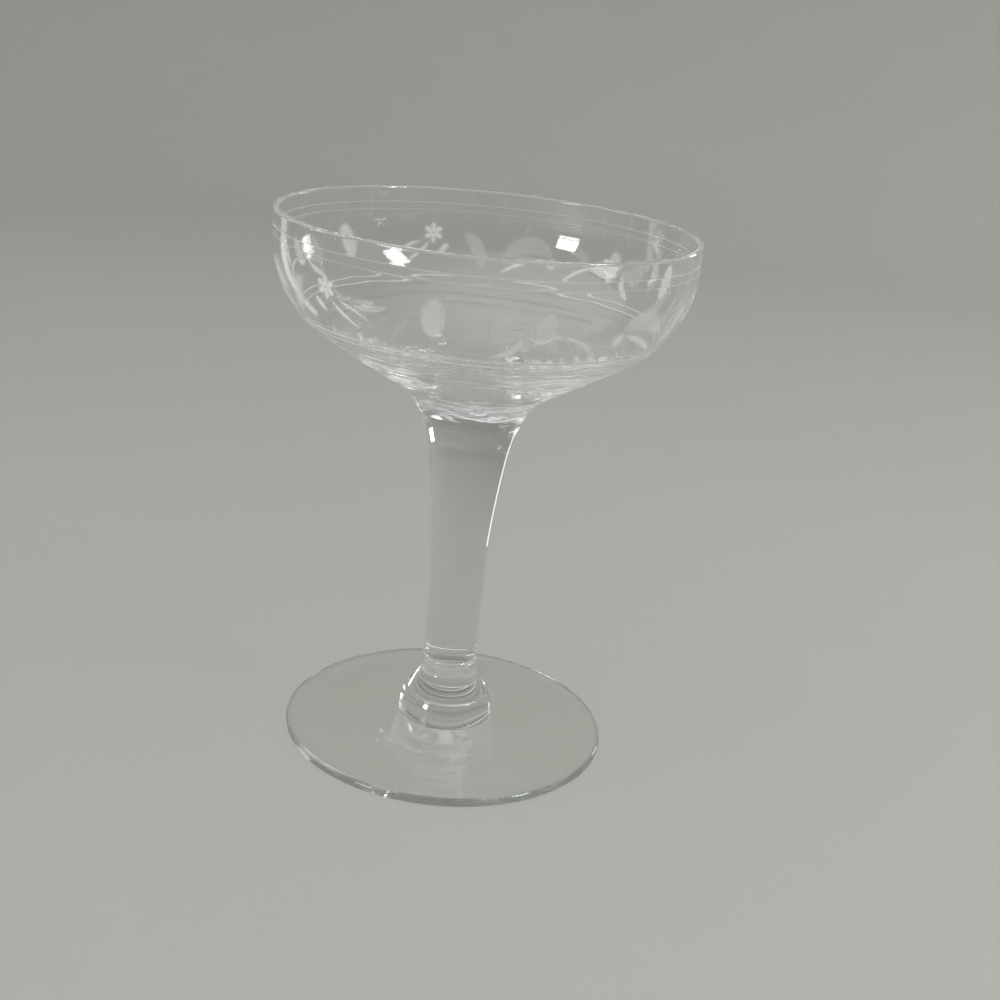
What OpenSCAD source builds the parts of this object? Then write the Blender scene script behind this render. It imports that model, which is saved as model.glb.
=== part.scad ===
// Coupe glass: a shallow-bowled stemmed drinking glass, worked from five pieces of clear glass
// that are fused face to face on one upright axis.
// Millimetres, +Z up, origin at the centre of the foot's underside.

/* [Foot] */
// Diameter of the foot
foot_d = 72.5; // [64:0.5:80]
// Thickness of the foot at its edge
foot_edge = 2; // [1.8:0.1:2.6]
// Height of the foot at the seat of the button
foot_h = 4; // [3.2:0.1:5.5]
// Radius of the polished corners of the foot's edge
foot_round = 0.8; // [0.4:0.05:0.85]
// Radius of the hollow sweep of the foot's upper face
foot_sweep_r = 175; // [120:5:400]
// Width of the flat ring that the glass stands on
foot_rest_w = 5; // [3:0.5:12]
// Depth of the hollow under the foot
foot_hollow = 0.7; // [0.3:0.05:1.2]

/* [Button] */
// Height of the button, from the foot to the collar
button_h = 13.3; // [11.5:0.1:16]
// Largest diameter of the band round the button
band_d = 21.6; // [20:0.1:25]
// Diameter of the lip at the top of the band
lip_d = 19.5; // [17.5:0.1:19.9]
// Height of the band, from the foot to its lip
band_h = 5.9; // [4.5:0.1:7]
// Radius of the swell of the band's side
band_swell_r = 9; // [7:0.5:30]
// Radius of the band's lower edge
band_round = 0.6; // [0.3:0.05:1]
// Radius of the lip
lip_round = 0.5; // [0.3:0.05:0.8]
// Width of the ledge between the lip and the bell
ledge_w = 0.4; // [0.2:0.05:0.8]
// Length of the straight neck above the bell
neck_h = 1.8; // [1:0.1:3]
// Radius of the hollow between the bell and the neck
neck_fillet_r = 2; // [1:0.1:3.5]

/* [Collar] */
// Thickness of the collar
collar_h = 1.2; // [0.8:0.1:2]
// How far the collar stands out from the stem
collar_proud = 0.3; // [0.1:0.05:1.5]

/* [Stem] */
// Length of the stem, from the collar to the bowl
stem_h = 55.5; // [48:0.5:75]
// Diameter of the slim lower stem
stem_d = 12; // [9:0.5:13]
// Length of the stem that stays slim
stem_slim_h = 12.5; // [5:0.5:18]
// Diameter of the seam between the stem and the bowl
seam_d = 21.5; // [21:0.5:26]
// Angle between the glass and the axis at that seam
seam_angle = 21; // [16:1:26]
// Radius of the hollow curve just below the seam
stem_flare_r = 36; // [20:1:50]
// Radius of the polished edges at the stem's lower end and the neck's upper end
fused_round = 0.4; // [0.2:0.05:0.6]

/* [Bowl] */
// Height of the bowl, from the seam to the rim
bowl_h = 43; // [41.5:0.5:60]
// Diameter of the rim
rim_d = 88; // [83:0.5:93]
// Rise of the bowl's underside, measured from level
taper_angle = 31.6; // [29:0.2:37]
// Radius of the hollow curve just above the seam
bowl_flare_r = 16; // [12:1:24]
// Radius of the rounded shoulder
shoulder_r = 23.5; // [17:0.5:26]
// Thickness of the wall at the shoulder
shoulder_wall = 1.6; // [1.3:0.05:2.4]
// Thickness of the wall at the rim
rim_wall = 1.2; // [0.8:0.05:1.3]
// Thickness of the solid floor on the axis, from the seam to the hollow
floor_h = 13; // [8:0.5:14]

/* [Hidden] */
$fn = 180;
arc_steps = 24;
glass = [0.84, 0.90, 0.88, 0.5];
foot_r = foot_d / 2;
band_r = band_d / 2;
lip_r = lip_d / 2;
stem_r = stem_d / 2;
seam_r = seam_d / 2;
rim_r = rim_d / 2;
button_z = foot_h;
collar_z = button_z + button_h;
stem_z = collar_z + collar_h;
bowl_z = stem_z + stem_h;

// Points of an arc about centre c, from one polar angle to another
function arc(c, r, from, to) =
    [for (i = [0:arc_steps]) let (a = from + (to - from) * i / arc_steps) c + r * [cos(a), sin(a)]];

// Points of the arc of radius r from p to q that bends to the left of the way from p to q
function arc_between(p, q, r) =
    let (half = norm(q - p) / 2,
         way = (q - p) / (2 * half),
         c = (p + q) / 2 + sqrt(r * r - half * half) * [-way.y, way.x],
         from = atan2(p.y - c.y, p.x - c.x),
         turn = 2 * asin(half / r))
    arc(c, r, from, from + turn);

// Solid of revolution of a closed half outline, raised to its place on the axis
module turned(outline, z)
    color(glass) translate([0, 0, z]) rotate_extrude() polygon(outline);

// Thin disc with a hollow sweep above, a polished edge and a hollow beneath, inside a flat rest
module foot() {
    rest_r = foot_r - foot_rest_w;
    hollow_r = (rest_r * rest_r + foot_hollow * foot_hollow) / (2 * foot_hollow);
    edge_x = foot_r - foot_round;
    hollow = arc([0, foot_hollow - hollow_r], hollow_r, 90, 90 - asin(rest_r / hollow_r));
    lower_edge = arc([edge_x, foot_round], foot_round, -90, 0);
    upper_edge = arc([edge_x, foot_edge - foot_round], foot_round, 0, 90);
    sweep = arc_between([band_r, foot_h], [edge_x, foot_edge], foot_sweep_r);
    upper_face = [for (i = [arc_steps:-1:0]) sweep[i]];
    turned(concat(hollow, lower_edge, upper_edge, upper_face, [[0, foot_h]]), 0);
}

// Solid bell: a swelling band with a lip, then a cone that runs into a short straight neck
module button() {
    foot_of_cone = [lip_r - lip_round - ledge_w, band_h];
    c = [stem_r + neck_fillet_r, button_h - neck_h];
    reach = foot_of_cone - c;
    cone_turn = atan2(reach.y, reach.x) + 360 - acos(neck_fillet_r / norm(reach));
    lower_edge = arc([band_r - band_round, band_round], band_round, -90, 0);
    side = arc_between([band_r, band_round], [lip_r, band_h - lip_round], band_swell_r);
    lip = arc([lip_r - lip_round, band_h - lip_round], lip_round, 0, 90);
    bell = arc(c, neck_fillet_r, cone_turn, 180);
    neck = arc([stem_r - fused_round, button_h - fused_round], fused_round, 0, 90);
    turned(concat([[0, 0]], lower_edge, side, lip, [foot_of_cone], bell, neck, [[0, button_h]]), button_z);
}

// Thin wafer with a fully rounded edge
module collar() {
    edge_r = collar_h / 2;
    edge = arc([stem_r + collar_proud - edge_r, edge_r], edge_r, -90, 90);
    turned(concat([[0, 0]], edge, [[0, collar_h]]), collar_z);
}

// Solid drawn stem: a slim rod, then a long hollow curve that tightens towards the seam
module stem() {
    spread = seam_r - stem_r - stem_flare_r * (1 - cos(seam_angle));
    rise = stem_h - stem_slim_h - stem_flare_r * sin(seam_angle);
    meet_angle = 2 * atan2(spread, rise);
    long_r = stem_flare_r + rise / sin(meet_angle);
    foot_end = arc([stem_r - fused_round, fused_round], fused_round, -90, 0);
    long_curve = arc([stem_r + long_r, stem_slim_h], long_r, 180, 180 - meet_angle);
    flare_c = [seam_r + stem_flare_r * cos(seam_angle), stem_h - stem_flare_r * sin(seam_angle)];
    flare = arc(flare_c, stem_flare_r, 180 - meet_angle, 180 - seam_angle);
    turned(concat([[0, 0]], foot_end, long_curve, flare, [[0, stem_h]]), stem_z);
}

// Blown bowl: every curve runs into the next on a common tangent, outside from the seam to the rim
// and inside from the rim to a shallow dish over the solid floor
module bowl() {
    steep = 90 - taper_angle;
    flare_c = [seam_r + bowl_flare_r * cos(seam_angle), -bowl_flare_r * sin(seam_angle)];
    flare = arc(flare_c, bowl_flare_r, 180 - seam_angle, 180 - steep);
    taper_start = flare[arc_steps];
    corner_z = taper_start.y + (rim_r - taper_start.x) * tan(taper_angle);
    shoulder_c = [rim_r - shoulder_r, corner_z + shoulder_r * tan(steep / 2)];
    shoulder = arc(shoulder_c, shoulder_r, -steep, 0);

    rim_round = rim_wall / 2;
    lip = arc([rim_r - rim_round, bowl_h - rim_round], rim_round, 0, 180);
    inner_r = shoulder_r - shoulder_wall;
    to_lip = lip[arc_steps] - shoulder_c;
    wall_turn = atan2(to_lip.y, to_lip.x) - acos(inner_r / norm(to_lip));
    drop = shoulder_c.y - floor_h;
    dish_r = (shoulder_c.x ^ 2 + drop ^ 2 - inner_r ^ 2) / (2 * (drop - inner_r));
    dish_turn = -atan2(floor_h + dish_r - shoulder_c.y, shoulder_c.x);
    inner_shoulder = arc(shoulder_c, inner_r, wall_turn, dish_turn);
    dish = arc([0, floor_h + dish_r], dish_r, dish_turn, -90);
    turned(concat([[0, 0]], flare, shoulder, lip, inner_shoulder, dish), bowl_z);
}

foot();
button();
collar();
stem();
bowl();
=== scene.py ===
# Coupe glass: five pieces of clear glass turned on one upright axis and fused end to end,
# with a grey-cut flower spray round the bowl.
import math

import bpy
import numpy as np
from mathutils import Matrix, Vector


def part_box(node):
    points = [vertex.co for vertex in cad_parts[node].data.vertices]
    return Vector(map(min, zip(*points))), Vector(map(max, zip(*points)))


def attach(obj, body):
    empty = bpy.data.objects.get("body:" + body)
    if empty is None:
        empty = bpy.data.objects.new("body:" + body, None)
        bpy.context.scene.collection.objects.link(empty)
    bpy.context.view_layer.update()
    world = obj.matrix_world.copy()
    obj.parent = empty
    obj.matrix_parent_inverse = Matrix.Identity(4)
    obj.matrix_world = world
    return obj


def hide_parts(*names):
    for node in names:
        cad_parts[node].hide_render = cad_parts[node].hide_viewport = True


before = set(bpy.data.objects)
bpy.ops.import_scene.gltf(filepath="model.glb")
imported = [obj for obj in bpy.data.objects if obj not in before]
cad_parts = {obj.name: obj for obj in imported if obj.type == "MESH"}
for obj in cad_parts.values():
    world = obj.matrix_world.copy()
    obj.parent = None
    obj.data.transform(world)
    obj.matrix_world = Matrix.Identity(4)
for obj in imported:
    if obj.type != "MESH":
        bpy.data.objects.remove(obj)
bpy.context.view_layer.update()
mm = 0.001  # profiles are worked out in millimetres, meshes are in metres
print("frame loaded with", sorted(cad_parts))


# Profiles are rows of (radius, height)

def arc(centre, radius, start, end, steps):
    # centre + radius * (cos, sin) of evenly spaced angles between two polar angles in degrees
    turn = np.radians(np.linspace(start, end, steps + 1))
    return np.column_stack([centre[0] + radius * np.cos(turn), centre[1] + radius * np.sin(turn)])


def arcBetween(first, last, radius, steps):
    # the arc of that radius through two points, which bends to the left of the way from first to last
    first, last = np.array(first, float), np.array(last, float)
    half = np.linalg.norm(last - first) / 2
    way = (last - first) / (2 * half)
    centre = (first + last) / 2 + math.sqrt(radius**2 - half**2) * np.array([-way[1], way[0]])
    start = math.degrees(math.atan2(*(first - centre)[::-1]))
    return arc(centre, radius, start, start + 2 * math.degrees(math.asin(half / radius)), steps)


def nodeSizes(node):
    # lowest and highest level and widest radius of a node of the frame, in millimetres
    low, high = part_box(node)
    return low.z / mm, high.z / mm, high.x / mm


def revolve(name, profile, columns, closeLow=True, sharpRows=(), inset=0.0):
    # point (row i, column j) = (r sin a, -r cos a, h): profile row i carried round the axis to azimuth j,
    # where azimuth 0 faces -Y and grows towards +X. The last row is one point on the axis, and so is
    # the first row of a shape that is closed below. Rows in sharpRows are creases.
    # inset moves point (i, j) inwards along the profile's own normal, in millimetres.
    rings = profile[1 if closeLow else 0:-1]
    azimuth = np.linspace(0, 2 * np.pi, columns, endpoint=False)
    rise = np.gradient(rings, axis=0)
    rise /= np.linalg.norm(rise, axis=1)[:, None]
    cut = np.zeros((len(rings), columns)) + inset
    radius = rings[:, :1] - cut * rise[:, 1:]
    height = rings[:, 1:] + cut * rise[:, :1]
    points = np.stack([radius * np.sin(azimuth), -radius * np.cos(azimuth), height], axis=-1).reshape(-1, 3)

    here = np.arange(len(rings) * columns).reshape(len(rings), columns)
    beside = np.roll(here, -1, axis=1)
    quads = np.stack([here[:-1], beside[:-1], beside[1:], here[1:]], axis=-1).reshape(-1, 4)
    faces = quads.tolist()
    if closeLow:
        faces += np.column_stack([np.full(columns, len(points)), beside[0], here[0]]).tolist()
        points = np.vstack([points, [0, 0, profile[0, 1]]])
    faces += np.column_stack([np.full(columns, len(points)), here[-1], beside[-1]]).tolist()
    points = np.vstack([points, [0, 0, profile[-1, 1]]])

    mesh = bpy.data.meshes.new(name)
    mesh.from_pydata(points * mm, [], faces)
    mesh.polygons.foreach_set("use_smooth", np.ones(len(mesh.polygons), bool))
    if sharpRows:
        ends = np.zeros(2 * len(mesh.edges), np.int32)
        mesh.edges.foreach_get("vertices", ends)
        row = ends.reshape(-1, 2) // columns
        crease = (row[:, 0] == row[:, 1]) & np.isin(row[:, 0], np.array(sharpRows) % len(rings))
        mesh.attributes.new("sharp_edge", "BOOLEAN", "EDGE").data.foreach_set("value", crease)
    piece = bpy.data.objects.new(name, mesh)
    bpy.context.scene.collection.objects.link(piece)
    return piece


# Shader maths

class Wire:
    # an output socket of a node tree: sums on it add Math nodes, and node() adds any other kind
    def __init__(self, tree, socket=None):
        self.tree = tree
        self.socket = socket

    def node(self, kind, settings=None, sockets=None, out=0):
        made = self.tree.nodes.new(kind)
        for key, value in (settings or {}).items():
            setattr(made, key, value)
        for key, value in (sockets or {}).items():
            if isinstance(value, Wire):
                self.tree.links.new(value.socket, made.inputs[key])
            else:
                made.inputs[key].default_value = value
        return Wire(self.tree, made.outputs[out] if made.outputs else None)

    def math(self, operation, first, second):
        return self.node("ShaderNodeMath", {"operation": operation}, {0: first, 1: second})

    def __add__(self, other):
        return self.math("ADD", self, other)

    def __radd__(self, other):
        return self.math("ADD", other, self)

    def __sub__(self, other):
        return self.math("SUBTRACT", self, other)

    def __rsub__(self, other):
        return self.math("SUBTRACT", other, self)

    def __mul__(self, other):
        return self.math("MULTIPLY", self, other)

    def __rmul__(self, other):
        return self.math("MULTIPLY", other, self)

    def ramp(self, low, high, first=0.0, last=1.0):
        # smooth step from first at low to last at high
        sockets = {"Value": self, "From Min": low, "From Max": high, "To Min": first, "To Max": last}
        return self.node("ShaderNodeMapRange", {"interpolation_type": "SMOOTHSTEP"}, sockets)

    def mix(self, first, second):
        # first where this value is 0, second where it is 1: sockets 6, 7 and 2 are the node's colours
        return self.node("ShaderNodeMix", {"data_type": "RGBA"}, {0: self, 6: first, 7: second}, out=2)

    def mixShader(self, first, second):
        # the same with two shaders
        return self.node("ShaderNodeMixShader", {}, {0: self, 1: first, 2: second})

    def vector(self, operation, first, second):
        return self.node("ShaderNodeVectorMath", {"operation": operation}, {0: first, 1: second})

    def place(self):
        # Object coordinates, in metres
        return self.node("ShaderNodeTexCoord", out="Object")

    def noise(self, fineness, detail):
        # soft noise, with features of about 1 / fineness metres along X, Y and Z
        scaled = self.vector("MULTIPLY", self.place(), fineness)
        return self.node("ShaderNodeTexNoise", {}, {"Vector": scaled, "Scale": 1.0, "Detail": detail})

    def height(self):
        # height above the resting plane, in metres
        return self.node("ShaderNodeSeparateXYZ", {}, {0: self.place()}, out="Z")

    def radius(self):
        # distance from the upright axis, in metres
        level = self.vector("MULTIPLY", self.place(), (1, 1, 0))
        return self.node("ShaderNodeVectorMath", {"operation": "LENGTH"}, {0: level}, out="Value")

    def attribute(self, name):
        return self.node("ShaderNodeAttribute", {"attribute_name": name}, out="Fac")

    def bump(self, distance):
        return self.node("ShaderNodeBump", {}, {"Height": self, "Distance": distance})

    def principled(self, sockets):
        return self.node("ShaderNodeBsdfPrincipled", {}, sockets)


def newMaterial(name):
    material = bpy.data.materials.new(name)
    material.use_nodes = True
    material.node_tree.nodes.clear()
    return material, Wire(material.node_tree)


def finishMaterial(material, surface):
    surface.node("ShaderNodeOutputMaterial", {}, {"Surface": surface})
    return material


# Glass: levels, radii and depths in metres; a grain is a noise, given by its fineness along X, Y and Z
# and by its detail
glassLook = {
    "ior": 1.51,
    "tint": (0.965, 0.972, 0.965, 1),  # faint grey green of soda glass
    "tintClear": (0.985, 0.99, 0.985, 1),
    "tintGrain": ((60, 60, 30), 2.0),
    "tintThick": (0.84, 0.865, 0.845, 1),  # solid glass
    "thickFrom": (0.0035, 0.006),  # between these levels the foot gives way to the solid button
    "thickTo": (0.078, 0.090),  # and between these the bowl's solid floor gives way to its wall
    "edgeTintAndShade": (0.55, 0.60, 0.57, 1),  # painted shade: the foot's outer edge darkened as if in its contact shadow on the floor, on top of the green of glass seen along its edge
    "edgeShadeFrom": (0.0350, 0.0362),  # radii between which that painted edge shade begins
    "wear": 0.02,  # roughness of the handled surface where it is dullest
    "wearGrain": ((240, 240, 160), 4.0),
    "wearFrom": (0.5, 0.75),  # the part of the grain that is worn
    "wave": 0.000012,  # depth of the slow waves that fire polishing leaves
    "waveGrain": ((70, 70, 45), 1.0),
    "striaDepth": 0.0001,  # depth of the fine level streaks low on the bowl
    "striaGrain": ((25, 25, 1300), 3.0),
    "striaTop": (0.092, 0.098),  # the streaks fade out between these levels
    "shade": (0.965, 0.968, 0.962, 1),  # what each wall lets through of light that falls on the floor
    "haze": (0.84, 0.86, 0.86, 1),  # lightly ground glass
    "frost": (0.97, 0.98, 0.98, 1),  # deeply ground glass
    "frostRough": 0.8,
    "frostThrough": (0.62, 0.4),  # share of light that passes, lightly and deeply ground
    "frostGrain": ((2600, 2600, 2600), 2.0),
    "frostDepth": 0.00004,  # depth of that grain
    "frostSpeckle": 0.15,  # how much of the whiteness follows the grain
}


def lampsThrough(surface):
    # light from lamps, sky and floor goes straight through the glass, only a little weaker
    rays = [surface.node("ShaderNodeLightPath", out=kind) for kind in ("Is Shadow Ray", "Is Diffuse Ray")]
    passing = surface.node("ShaderNodeBsdfTransparent", {}, {"Color": glassLook["shade"]})
    return surface.math("MAXIMUM", *rays).mixShader(surface, passing)


def glassParts(paint):
    # tint, roughness and wave height that every piece of the glass shares
    tint = paint.noise(*glassLook["tintGrain"]).mix(glassLook["tint"], glassLook["tintClear"])
    wear = paint.noise(*glassLook["wearGrain"]).ramp(*glassLook["wearFrom"], 0.0, glassLook["wear"])
    wave = paint.noise(*glassLook["waveGrain"])
    return tint, wear, wave


def clearGlass():
    material, paint = newMaterial("clearGlass")
    tint, wear, wave = glassParts(paint)
    tint = paint.height().ramp(*glassLook["thickFrom"]).mix(tint, glassLook["tintThick"])
    # painted shade: the foot darkens towards its outer edge, standing in for its contact shadow on the
    # floor
    tint = paint.radius().ramp(*glassLook["edgeShadeFrom"]).mix(tint, glassLook["edgeTintAndShade"])
    glass = paint.principled({
        "Base Color": tint, "Roughness": wear, "IOR": glassLook["ior"], "Transmission Weight": 1.0,
        "Normal": wave.bump(glassLook["wave"])})
    return finishMaterial(material, lampsThrough(glass))


def cutGlass():
    # clear glass with level streaks below, and frosted where the wheel has cut
    material, paint = newMaterial("cutGlass")
    tint, wear, wave = glassParts(paint)
    tint = paint.height().ramp(*glassLook["thickTo"]).mix(glassLook["tintThick"], tint)
    zone = 1 - paint.height().ramp(*glassLook["striaTop"])
    stria = paint.noise(*glassLook["striaGrain"]) * zone * glassLook["striaDepth"]
    glass = paint.principled({
        "Base Color": tint, "Roughness": wear, "IOR": glassLook["ior"], "Transmission Weight": 1.0,
        "Normal": (stria + wave * glassLook["wave"]).bump(1.0)})
    gleam = paint.attribute("gleam")
    grain = paint.noise(*glassLook["frostGrain"])
    speckle = glassLook["frostSpeckle"]
    outside = paint.principled({
        "Base Color": (gleam * (1 - speckle) + grain * speckle).mix(glassLook["haze"], glassLook["frost"]),
        "Roughness": glassLook["frostRough"], "IOR": glassLook["ior"],
        "Normal": grain.bump(glassLook["frostDepth"])})
    through = paint.node("ShaderNodeBsdfTranslucent", {}, {"Color": glassLook["frost"]})
    frost = gleam.ramp(0.0, 1.0, *glassLook["frostThrough"]).mixShader(outside, through)
    return finishMaterial(material, lampsThrough(paint.attribute("cut").mixShader(glass, frost)))


def fusedGlass():
    # two pieces melted together leave nothing to see between them
    material, paint = newMaterial("fusedGlass")
    return finishMaterial(material, paint.principled({"Alpha": 0.0, "Roughness": 1.0}))


clear, cutting, fused = clearGlass(), cutGlass(), fusedGlass()
print("glass materials made")

flatEnd = 0.99  # a face that looks straighter up or down than this belongs to a flat end


def dress(piece, node, finish, fusedLow=False, fusedHigh=False):
    # an end that is melted to the next piece is a flat fan of triangles, which nobody sees
    mesh = piece.data
    mesh.materials.append(finish)
    mesh.materials.append(fused)
    normal = np.zeros(3 * len(mesh.polygons))
    mesh.polygons.foreach_get("normal", normal)
    corners = np.zeros(len(mesh.polygons), np.int32)
    mesh.polygons.foreach_get("loop_total", corners)
    upward = normal.reshape(-1, 3)[:, 2]
    melted = (fusedLow & (upward < -flatEnd)) | (fusedHigh & (upward > flatEnd))
    mesh.polygons.foreach_set("material_index", (melted & (corners == 3)).astype(np.int32))
    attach(piece, "root")
    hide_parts(node)
    print(piece.name, len(mesh.polygons), "faces")


# Foot: hollow beneath, polished edge, long hollow sweep above
footSize = {"edge": 2.0, "round": 0.8, "sweep": 175.0, "rest": 5.0, "hollow": 0.7,
            "columns": 360, "hollowSteps": 20, "roundSteps": 8, "sweepSteps": 24}


def makeFoot():
    size = footSize
    high, radius = nodeSizes("foot")[1:]
    restRadius = radius - size["rest"]
    hollowRadius = (restRadius**2 + size["hollow"]**2) / (2 * size["hollow"])
    hollowEnd = 90 - math.degrees(math.asin(restRadius / hollowRadius))
    hollow = arc((0, size["hollow"] - hollowRadius), hollowRadius, 90, hollowEnd, size["hollowSteps"])
    edge = radius - size["round"]
    lowerEdge = arc((edge, size["round"]), size["round"], -90, 0, size["roundSteps"])
    upperEdge = arc((edge, size["edge"] - size["round"]), size["round"], 0, 90, size["roundSteps"])
    sweepEnds = (buttonSize["band"], high), (edge, size["edge"])
    sweep = arcBetween(*sweepEnds, size["sweep"], size["sweepSteps"])[::-1]
    seat = [(buttonSize["band"] - buttonSize["bandRound"], high), (0, high)]
    profile = np.vstack([hollow, lowerEdge, upperEdge[1:], sweep[1:], seat])
    piece = revolve("footDisc", profile, size["columns"], sharpRows=(-1,))
    dress(piece, "foot", clear, fusedHigh=True)


# Button: swelling band with a lip, then a bell that runs into a short neck
buttonSize = {"band": 10.8, "lip": 9.75, "bandHeight": 5.9, "swell": 9.0, "bandRound": 0.6, "lipRound": 0.5,
              "ledge": 0.4, "neck": 1.8, "fillet": 2.0,
              "columns": 240, "roundSteps": 8, "swellSteps": 16, "bellSteps": 14}


def makeButton():
    size = buttonSize
    low, high = nodeSizes("button")[:2]
    neckTop = high - low
    lipLevel = size["bandHeight"] - size["lipRound"]
    coneFoot = np.array([size["lip"] - size["lipRound"] - size["ledge"], size["bandHeight"]])
    bellCentre = np.array([stemSize["radius"] + size["fillet"], neckTop - size["neck"]])
    reach = coneFoot - bellCentre
    coneTurn = math.degrees(math.atan2(reach[1], reach[0])) + 360
    coneTurn -= math.degrees(math.acos(size["fillet"] / np.linalg.norm(reach)))
    bandCentre = (size["band"] - size["bandRound"], size["bandRound"])
    lowerEdge = arc(bandCentre, size["bandRound"], -90, 0, size["roundSteps"])
    sideEnds = (size["band"], size["bandRound"]), (size["lip"], lipLevel)
    side = arcBetween(*sideEnds, size["swell"], size["swellSteps"])
    lip = arc((size["lip"] - size["lipRound"], lipLevel), size["lipRound"], 0, 90, size["roundSteps"])
    bell = arc(bellCentre, size["fillet"], coneTurn, 180, size["bellSteps"])
    neckCentre = (stemSize["radius"] - stemSize["round"], neckTop - stemSize["round"])
    neck = arc(neckCentre, stemSize["round"], 0, 90, stemSize["roundSteps"])
    profile = np.vstack([[(0, 0)], lowerEdge, side[1:], lip[1:], [coneFoot], bell, neck, [(0, neckTop)]])
    coneRow = len(lowerEdge) + len(side) + len(lip) - 2  # the cone starts here, after two shared points
    piece = revolve("buttonBell", profile + (0, low), size["columns"], sharpRows=(0, coneRow, -1))
    dress(piece, "button", clear, fusedLow=True, fusedHigh=True)


# Collar: thin wafer with a round edge
collarSize = {"columns": 240, "edgeSteps": 16}


def makeCollar():
    low, high, radius = nodeSizes("collar")
    edge = (high - low) / 2
    fusedRadius = stemSize["radius"] - stemSize["round"]
    side = arc((radius - edge, edge), edge, -90, 90, collarSize["edgeSteps"])
    profile = np.vstack([[(0, 0), (fusedRadius, 0)], side, [(fusedRadius, 2 * edge), (0, 2 * edge)]])
    piece = revolve("collarRing", profile + (0, low), collarSize["columns"], sharpRows=(0, -1))
    dress(piece, "collar", clear, fusedLow=True, fusedHigh=True)


# Stem: slim rod, then a long hollow curve that tightens towards the bowl
stemSize = {"radius": 6.0, "slim": 12.5, "seamAngle": 21.0, "flare": 36.0, "round": 0.4,
            "columns": 240, "roundSteps": 6, "slimRows": 6, "longSteps": 40, "flareSteps": 14}


def makeStem():
    size = stemSize
    low, high, seamRadius = nodeSizes("stem")
    length = high - low
    angle = math.radians(size["seamAngle"])
    spread = seamRadius - size["radius"] - size["flare"] * (1 - math.cos(angle))
    rise = length - size["slim"] - size["flare"] * math.sin(angle)
    meet = 2 * math.atan2(spread, rise)  # the direction in which the two curves meet
    meetTurn = 180 - math.degrees(meet)
    longRadius = size["flare"] + rise / math.sin(meet)
    lowerCentre = (size["radius"] - size["round"], size["round"])
    lowerEdge = arc(lowerCentre, size["round"], -90, 0, size["roundSteps"])
    slimLevels = size["slim"] * np.linspace(0, 1, size["slimRows"])[1:-1]
    slim = np.column_stack([np.full(len(slimLevels), size["radius"]), slimLevels])
    longCentre = (size["radius"] + longRadius, size["slim"])
    longCurve = arc(longCentre, longRadius, 180, meetTurn, size["longSteps"])
    flareCentre = (seamRadius + size["flare"] * math.cos(angle), length - size["flare"] * math.sin(angle))
    flare = arc(flareCentre, size["flare"], meetTurn, 180 - size["seamAngle"], size["flareSteps"])
    profile = np.vstack([[(0, 0)], lowerEdge, slim, longCurve, flare[1:], [(0, length)]])
    piece = revolve("stemRod", profile + (0, low), size["columns"], sharpRows=(0, -1))
    dress(piece, "stem", clear, fusedLow=True, fusedHigh=True)


# Bowl: flare, straight taper, shoulder, round rim, and a shallow dish over a solid floor
bowlSize = {
    "taper": 31.6, "flare": 16.0, "shoulder": 23.5, "shoulderWall": 1.25, "rimWall": 1.2, "floor": 13.0,
    "columns": 474, "flareSteps": 100, "shoulderSteps": 300, "lipSteps": 12,
    "innerSteps": 30, "dishSteps": 16,
    "cutBand": (96.8, 109.5),  # levels between which the flower sprays lie
    "rowStep": 1.1, "cutRowStep": 0.3, "streakRowStep": 0.5, "ringRowStep": 0.15,  # between rows of points
    "lipRow": 0.3,  # rows are as close as at a ring this near to the lip
    "lipShare": 0.06,  # share of the inner wall's straight stretch that its end rows take
    "fineSteps": 4000,  # points at which rows are counted
}

# Streaks: level ripples that shaping left below the cutting, each wave as (length, depth, sway) in
# millimetres and radians. They start at a distance from the seam, are strongest up to the first distance
# of the swirl and plain from the second one, and end below the lowest ring.
streakSize = {
    "start": 2.0, "fade": 2.0, "swirl": (12.0, 18.0), "swirlGain": 2.2, "ringGap": 0.3, "ringFade": 0.6,
    "waves": [(3.3, 0.072, 1.1), (2.3, 0.040, 1.6), (1.6, 0.017, 0.8)],
    "swayTurns": (2, 5),  # sways round the bowl in the first wave, with one more in each wave after it
    "swayShift": (1.0, 2.4),  # radians by which each sway is turned from one wave to the next
}

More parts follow.
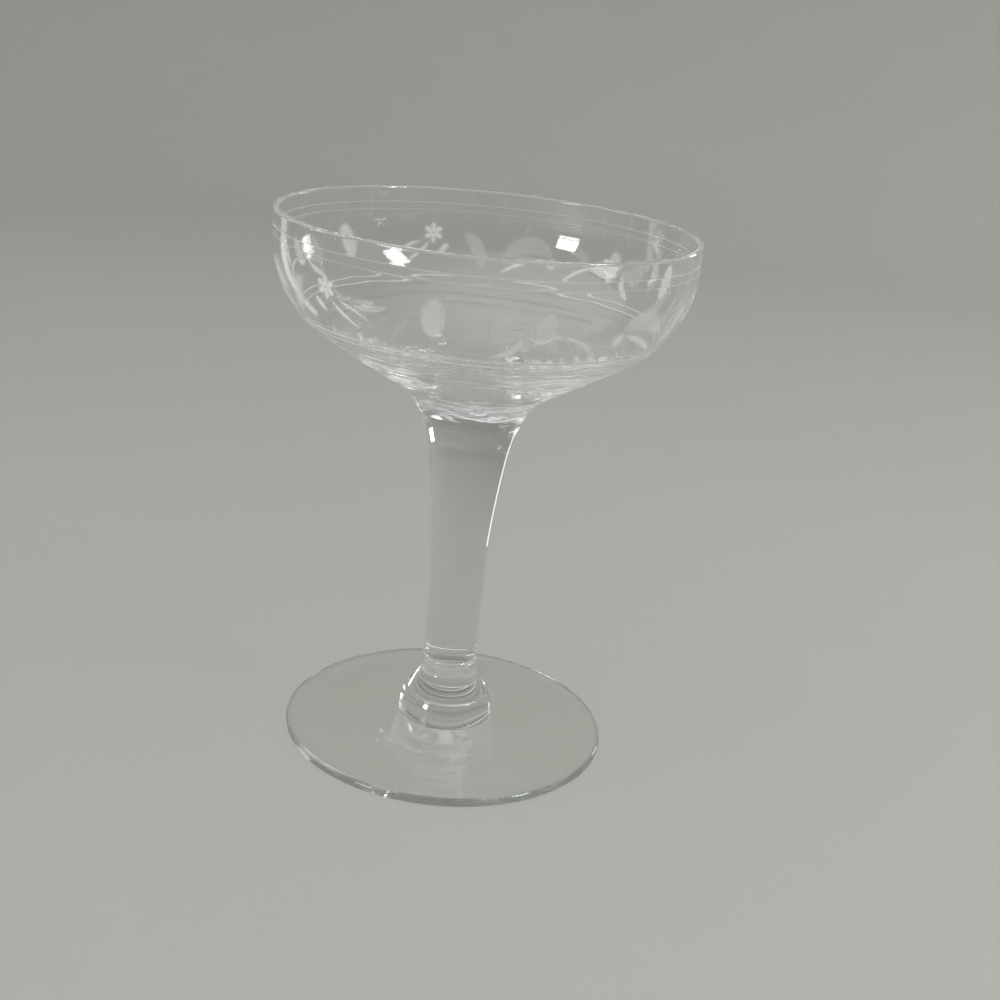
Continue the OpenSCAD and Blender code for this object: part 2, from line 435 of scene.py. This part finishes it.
# Cutting: strokes of the wheel as (azimuth in degrees, level in millimetres) along a curve, with the widest
# half width, the frosting and how white it is; a spray repeats round the bowl
cutSize = {
    "sprays": 3, "discs": 28, "tip": 0.02,  # discs along a stroke, and where its ends stop narrowing
    "depth": 0.16, "shallow": 0.4,  # depth * the smaller of half width and shallow / half width
    "softEdge": 0.5, "broadHalf": 1.2, "broadSoft": 0.9,
    "rings": (113.4, 111.7, 96.7, 95.5), "ringHalf": 0.2,
    "ringFrost": (0.5, 0.35, 0.95, 0.95), "ringDepth": (0.008, 0.008, 0.03, 0.03),
    "strokes": [
        ([(-11.9, 101.3), (-11.6, 104.6), (-11.2, 107.9)], 2.3, 0.95, 0.25),  # upright petal
        ([(15.2, 101.9), (16.2, 104.3), (17.0, 107.0)], 1.9, 0.8, 0.1),  # bud
        ([(13.2, 102.3), (16.0, 100.9), (18.8, 102.8)], 0.6, 1.0, 1.0),  # cup of the bud
        ([(18.4, 102.8), (27.5, 103.0), (33.8, 97.6)], 0.5, 1.0, 0.8),  # its curved stem
        ([(10.9, 102.4), (10.5, 99.6), (3.8, 97.8)], 0.8, 0.95, 0.6),  # comma leaf
        ([(4.5, 101.0), (7.5, 103.4), (12.0, 102.8)], 1.5, 0.4, 0.2),  # haze beside it
        ([(3.0, 101.6), (4.5, 104.5), (8.0, 106.6)], 1.9, 0.35, 0.0),  # broad leaf
        ([(26.0, 103.2), (29.5, 106.4), (34.0, 105.8)], 1.3, 0.32, 0.0),  # broad leaf
        ([(37.9, 101.0), (38.3, 101.7), (38.7, 102.4)], 1.3, 0.9, 0.3),  # pale petal
        ([(40.5, 102.6), (48.0, 101.4), (55.0, 98.2)], 0.6, 0.95, 0.6),  # curved leaf
        ([(39.5, 104.0), (46.5, 107.4), (54.0, 102.6)], 2.3, 0.36, 0.0),  # broad leaf
        ([(-38.4, 104.4), (-34.0, 103.8), (-29.6, 101.7)], 0.36, 1.0, 0.7),  # long thin stroke
        ([(-47.0, 104.0), (-46.0, 102.8), (-44.0, 101.8)], 0.7, 0.95, 0.4),  # leaf under the flower
        ([(-41.0, 104.2), (-38.0, 101.6), (-33.0, 99.8)], 0.5, 0.95, 0.5),  # leaf under the flower
        ([(-53.0, 106.5), (-57.5, 104.5), (-58.5, 99.5)], 1.8, 0.4, 0.0),  # broad hazy leaf
    ],
    "flower": (-42.5, 106.4), "petals": 6, "petalReach": 2.3, "petalRun": (0.15, 0.6, 1.0),
    "petalHalf": 0.62, "petalFrost": 0.95, "petalGleam": 0.6,
}


def bowlProfile():
    # two lines: the outer wall from the seam to the lip, and the lip and the inner wall down to the axis
    size = bowlSize
    low, high, rimRadius = nodeSizes("bowl")
    seamRadius = nodeSizes("stem")[2]
    seamAngle = stemSize["seamAngle"]
    seam = math.radians(seamAngle)
    steep = 90 - size["taper"]
    flareCentre = (seamRadius + size["flare"] * math.cos(seam), -size["flare"] * math.sin(seam))
    flare = arc(flareCentre, size["flare"], 180 - seamAngle, 180 - steep, size["flareSteps"])
    corner = flare[-1, 1] + (rimRadius - flare[-1, 0]) * math.tan(math.radians(size["taper"]))
    shoulderLevel = corner + size["shoulder"] * math.tan(math.radians(steep / 2))
    centre = np.array([rimRadius - size["shoulder"], shoulderLevel])
    shoulder = arc(centre, size["shoulder"], -steep, 0, size["shoulderSteps"])
    rimRound = size["rimWall"] / 2
    lip = arc((rimRadius - rimRound, high - low - rimRound), rimRound, 0, 180, size["lipSteps"])
    inner = size["shoulder"] - size["shoulderWall"]
    toLip = lip[-1] - centre
    wallTurn = math.degrees(math.atan2(toLip[1], toLip[0]) - math.acos(inner / np.linalg.norm(toLip)))
    drop = centre[1] - size["floor"]
    dishRadius = (centre[0]**2 + drop**2 - inner**2) / (2 * (drop - inner))
    dishTurn = -math.degrees(math.atan2(size["floor"] + dishRadius - centre[1], centre[0]))
    innerShoulder = arc(centre, inner, wallTurn, dishTurn, size["innerSteps"])
    dish = arc((0, size["floor"] + dishRadius), dishRadius, dishTurn, -90, size["dishSteps"])
    # narrow rows at both ends of the straight wall keep its own direction up to the lip
    share = size["lipShare"]
    nearLip = np.array([[1 - share, share], [share, 1 - share]]) @ np.vstack([lip[-1], innerShoulder[0]])
    outer = np.vstack([flare, shoulder, lip[:1]]) + (0, low)
    inside = np.vstack([lip[1:], nearLip, innerShoulder, dish[1:]]) + (0, low)
    return outer, inside


def rowsAlong(line):
    # points of the outer wall and their distances from the seam: the number of rows per millimetre depends
    # on the level, its running sum is cut into equal parts, and each cut is a row
    size = bowlSize
    step = np.linalg.norm(np.diff(line, axis=0), axis=1)
    run = np.concatenate([[0], np.cumsum(step)])
    fine = np.linspace(0, run[-1], size["fineSteps"])
    level = np.interp(fine, run, line[:, 1])
    low, high = size["cutBand"]
    nearLip = run[-1] - fine < size["lipRow"]
    toRing = np.min(np.abs(level[:, None] - np.array(cutSize["rings"])), axis=1)
    nearRing = toRing < 2 * cutSize["ringHalf"]
    rows = np.where((level > low) & (level < high), 1 / size["cutRowStep"], 1 / size["rowStep"])
    rows = np.where(level <= low, 1 / size["streakRowStep"], rows)
    rows = np.where(nearRing | nearLip, 1 / size["ringRowStep"], rows)
    count = np.concatenate([[0], np.cumsum(rows[1:] * np.diff(fine))])
    place = np.interp(np.linspace(0, count[-1], int(count[-1]) + 1), count, fine)
    return np.column_stack([np.interp(place, run, line[:, 0]), np.interp(place, run, line[:, 1])]), place


def strokeDepth(across, along, curve, half):
    # a stroke is the union of discs along a bent line, widest in its middle:
    # how far a point lies inside it is the largest of (disc radius - distance), in millimetres
    t = np.linspace(0, 1, cutSize["discs"])
    weights = np.column_stack([(1 - t)**2, 2 * t * (1 - t), t**2])
    spine = weights @ curve
    width = half * np.sqrt(np.sin(np.pi * np.clip(t, cutSize["tip"], 1 - cutSize["tip"])))
    away = np.hypot(across[..., None] - spine[:, 0], along[..., None] - spine[:, 1])
    return np.max(width - away, axis=-1)


def cutBowl(rings, place):
    # frosting, whiteness and depth of the cutting at each point of the outer wall
    columns = bowlSize["columns"]
    rimRadius = nodeSizes("bowl")[2]
    perSpray = columns // cutSize["sprays"]
    azimuth = (np.arange(perSpray) - perSpray // 2) * 360 / columns
    low, high = bowlSize["cutBand"]
    band = (rings[:, 1] > low) & (rings[:, 1] < high)
    across, along = np.meshgrid(azimuth * np.pi / 180 * rimRadius, place[band])

    def flat(points):
        # (azimuth, level) to millimetres across and along the wall
        points = np.array(points, float)
        distance = np.interp(points[:, 1], rings[:, 1], place)
        return np.column_stack([np.radians(points[:, 0]) * rimRadius, distance])

    strokes = [(flat(points), half, frost, gleam) for points, half, frost, gleam in cutSize["strokes"]]
    centre = flat([cutSize["flower"]])[0]
    petalLook = cutSize["petalHalf"], cutSize["petalFrost"], cutSize["petalGleam"]
    for turn in np.arange(cutSize["petals"]) * 2 * np.pi / cutSize["petals"]:
        way = np.array([math.sin(turn), math.cos(turn)]) * cutSize["petalReach"]
        strokes.append((centre + np.outer(cutSize["petalRun"], way), *petalLook))
    spray = np.zeros((3,) + across.shape)
    for curve, half, frost, gleam in strokes:
        inside = strokeDepth(across, along, curve, half)
        soft = cutSize["softEdge" if half < cutSize["broadHalf"] else "broadSoft"]
        cover = np.clip(inside / soft + 0.5, 0, 1)
        hollow = np.clip((inside - soft / 2) / half, 0, 1)
        hollow = hollow * cutSize["depth"] * min(half, cutSize["shallow"] / half)
        spray = np.maximum(spray, [frost * cover, gleam * cover, hollow])
    wall = np.zeros((3, len(rings), columns))
    wall[:, band] = np.roll(np.tile(spray, cutSize["sprays"]), -(perSpray // 2), axis=2)
    for level, frost, depth in zip(cutSize["rings"], cutSize["ringFrost"], cutSize["ringDepth"]):
        groove = np.clip(1 - np.abs(rings[:, 1] - level) / cutSize["ringHalf"], 0, 1)[:, None]
        wall = np.maximum(wall, np.stack([groove * frost, groove * frost, groove * depth]))
    return wall


def rippleBowl(rings, place):
    # depth of the streaks: a sum of raised sine waves along the wall, whose phase sways with azimuth,
    # faded in above the seam and out below the lowest ring
    size = streakSize
    azimuth = np.linspace(0, 2 * np.pi, bowlSize["columns"], endpoint=False)
    top = np.interp(min(cutSize["rings"]), rings[:, 1], place)
    ripple = np.zeros((len(rings), len(azimuth)))
    for number, (length, depth, sway) in enumerate(size["waves"]):
        phase = sway * sum(np.sin((turns + number) * azimuth + shift * number)
                           for turns, shift in zip(size["swayTurns"], size["swayShift"]))
        ripple += depth / 2 * (1 + np.sin(2 * np.pi * place[:, None] / length + phase))
    fade = np.clip((place - size["start"]) / size["fade"], 0, 1)
    fade = fade * np.interp(place, size["swirl"], (size["swirlGain"], 1.0))
    fade = fade * np.clip((top - size["ringGap"] - place) / size["ringFade"], 0, 1)
    return ripple * fade[:, None]


def makeBowl():
    outer, inside = bowlProfile()
    rows, place = rowsAlong(outer)
    frost, gleam, depth = cutBowl(rows, place)
    depth = depth + rippleBowl(rows, place)
    plain = np.zeros((len(inside) - 1, bowlSize["columns"]))
    profile = np.vstack([[(0, rows[0, 1])], rows, inside])
    inset = np.vstack([depth, plain])
    piece = revolve("bowlCup", profile, bowlSize["columns"], sharpRows=(0,), inset=inset)
    for name, values in (("cut", frost), ("gleam", gleam)):
        values = np.concatenate([values.ravel(), plain.ravel(), [0, 0]]).astype(np.float32)
        piece.data.attributes.new(name, "FLOAT", "POINT").data.foreach_set("value", values)
    dress(piece, "bowl", cutting, fusedLow=True)


for makePiece in (makeFoot, makeButton, makeCollar, makeStem, makeBowl):
    makePiece()


# Stage: a round floor that sweeps up into a wall, the same from every side
stageSize = {
    "floor": 700.0, "sweep": 500.0, "wall": 900.0, "gap": 0.08,
    "columns": 128, "sweepSteps": 24, "floorRows": 15,
    "tone": (0.43, 0.423, 0.395, 1), "toneLight": (0.456, 0.449, 0.419, 1), "toneGrain": ((6, 6, 6), 3.0),
    "rough": (0.8, 0.95), "roughFrom": (0.3, 0.7), "roughGrain": ((40, 40, 40), 2.0), "specular": 0.2,
}


def makeStage():
    size = stageSize
    sweep = arc((size["floor"], size["sweep"]), size["sweep"], 0, -90, size["sweepSteps"])
    radii = np.linspace(size["floor"], 0, size["floorRows"])
    floor = np.column_stack([radii, np.zeros(len(radii))])
    wallTop = (size["floor"] + size["sweep"], size["wall"])
    profile = np.vstack([[wallTop], sweep, floor[1:]]) - (0, size["gap"])
    stage = revolve("studioSweep", profile, size["columns"], closeLow=False)
    material, paint = newMaterial("studioPaper")
    tone = paint.noise(*size["toneGrain"]).mix(size["tone"], size["toneLight"])
    rough = paint.noise(*size["roughGrain"]).ramp(*size["roughFrom"], *size["rough"])
    paper = paint.principled({
        "Base Color": tone, "Roughness": rough, "Specular IOR Level": size["specular"]})
    stage.data.materials.append(finishMaterial(material, paper))


makeStage()
print("stage made")


# Light: four small windows that light the cutting and glint in the glass, and a narrow card that is seen
# only through the glass, as a bright line along the stem's edge. A lamp that diffuse rays don't see leaves
# the floor unlit, and one that glossy rays don't see isn't mirrored.
lampSize = {
    "windowLeftFront": {"place": (-0.73, -0.62, 0.28), "size": (0.22, 0.26), "power": 3.0},
    "windowLeft": {"place": (-0.9, -0.08, 0.5), "size": (0.26, 0.3), "power": 0.75},
    "windowRight": {"place": (0.72, -0.28, 0.74), "size": (0.18, 0.28), "power": 4.5},
    "windowBack": {"place": (0.70, 0.69, 0.2), "size": (0.16, 0.18), "power": 0.6,
                   "unseenBy": ("diffuse",)},
    "edgeCard": {"place": (-0.127, 0.08, 0.069), "size": (0.022, 0.13), "power": 0.01,
                 "unseenBy": ("diffuse", "glossy")},
}

# Sky: brightest overhead, a little to the left, and dim where it faces that way by less than the edge
skySize = {"colour": (0.98, 0.985, 1.0, 1), "towards": (-0.4, -0.15, 0.9), "edge": 0.35,
           "low": 0.2, "high": 1.1}


def makeLamps():
    target = Vector((0, 0, nodeSizes("bowl")[0] * mm))
    for name, size in lampSize.items():
        lamp = bpy.data.lights.new(name, "AREA")
        lamp.shape = "RECTANGLE"
        lamp.size, lamp.size_y = size["size"]
        lamp.energy = size["power"]
        holder = bpy.data.objects.new(name, lamp)
        holder.location = size["place"]
        holder.rotation_euler = (target - holder.location).to_track_quat("-Z", "Y").to_euler()
        for ray in ("camera",) + size.get("unseenBy", ()):
            setattr(holder, "visible_" + ray, False)
        bpy.context.scene.collection.objects.link(holder)


def makeSky():
    world = bpy.data.worlds.new("studioSky")
    bpy.context.scene.world = world
    world.use_nodes = True
    world.node_tree.nodes.clear()
    sky = Wire(world.node_tree)
    way = sky.node("ShaderNodeTexCoord", out="Generated")
    sockets = {0: way, 1: skySize["towards"]}
    facing = sky.node("ShaderNodeVectorMath", {"operation": "DOT_PRODUCT"}, sockets, out="Value")
    level = facing.ramp(skySize["edge"], 1.0, skySize["low"], skySize["high"])
    glow = sky.node("ShaderNodeBackground", {}, {"Color": skySize["colour"], "Strength": level})
    sky.node("ShaderNodeOutputWorld", {}, {"Surface": glow})


makeLamps()
makeSky()
print("light made")


# Camera: fitted to the rim, the foot and the outline in the photograph
cameraSize = {"lens": 51.813, "sensor": 36.0, "nearest": 0.01, "place": (0, -0.297807, 0.162020),
              "yaw": 1.5127, "pitch": 19.5418, "roll": -5.8113}  # degrees: to the right, down, and tilt


def makeCamera():
    yaw, pitch, roll = (math.radians(cameraSize[key]) for key in ("yaw", "pitch", "roll"))
    forward = Vector((math.sin(yaw) * math.cos(pitch), math.cos(yaw) * math.cos(pitch), -math.sin(pitch)))
    level = Vector((math.cos(yaw), -math.sin(yaw), 0))
    down = forward.cross(level)
    right = math.cos(roll) * level + math.sin(roll) * down
    up = math.sin(roll) * level - math.cos(roll) * down
    camera = bpy.data.cameras.new("viewCamera")
    camera.lens, camera.sensor_width = cameraSize["lens"], cameraSize["sensor"]
    camera.clip_start = cameraSize["nearest"]
    holder = bpy.data.objects.new("viewCamera", camera)
    bpy.context.scene.collection.objects.link(holder)
    turned = Matrix((right, up, -forward)).transposed().to_4x4()
    holder.matrix_world = Matrix.Translation(cameraSize["place"]) @ turned
    bpy.context.scene.camera = holder


# light is followed through the many inner reflections of solid glass
pathLimits = {"max_bounces": 96, "glossy_bounces": 64, "transmission_bounces": 96,
              "transparent_max_bounces": 64, "diffuse_bounces": 3}

makeCamera()
bpy.context.scene.view_settings.view_transform = "Standard"
for kind, limit in pathLimits.items():
    setattr(bpy.context.scene.cycles, kind, limit)
print("camera made")
